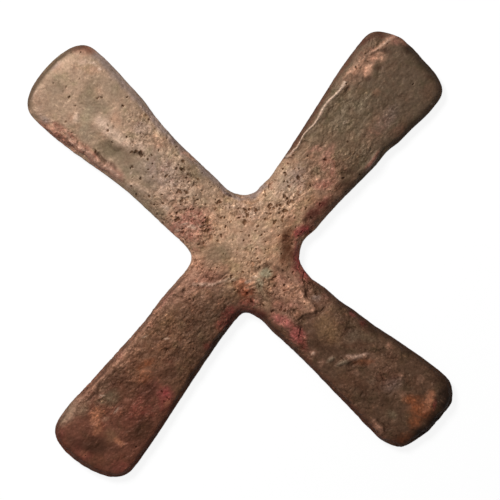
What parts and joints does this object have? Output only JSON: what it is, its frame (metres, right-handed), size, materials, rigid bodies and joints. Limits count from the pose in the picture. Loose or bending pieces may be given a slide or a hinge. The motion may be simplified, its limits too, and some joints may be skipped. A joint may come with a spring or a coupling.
{
  "type": "katanga cross",
  "caption": "Flat-backed cast copper cross with flared, round-ended arms set as an X, rough and patinated, once traded as currency and now a display piece.",
  "frame": {"origin": "middle of the crossing, on the plane of the flat back that the casting rests on", "axes": "+Z up out of the upper face, +X to the right and +Y up as the upper face is seen in the picture"},
  "size_m": [0.1997, 0.2096, 0.0087],
  "materials": {
    "patinated_copper": "matte"
  },
  "bodies": {
    "root": {"crossing": "patinated_copper", "upper_right_arm": "patinated_copper", "upper_left_arm": "patinated_copper", "lower_left_arm": "patinated_copper", "lower_right_arm": "patinated_copper"}
  },
  "joints": []
}
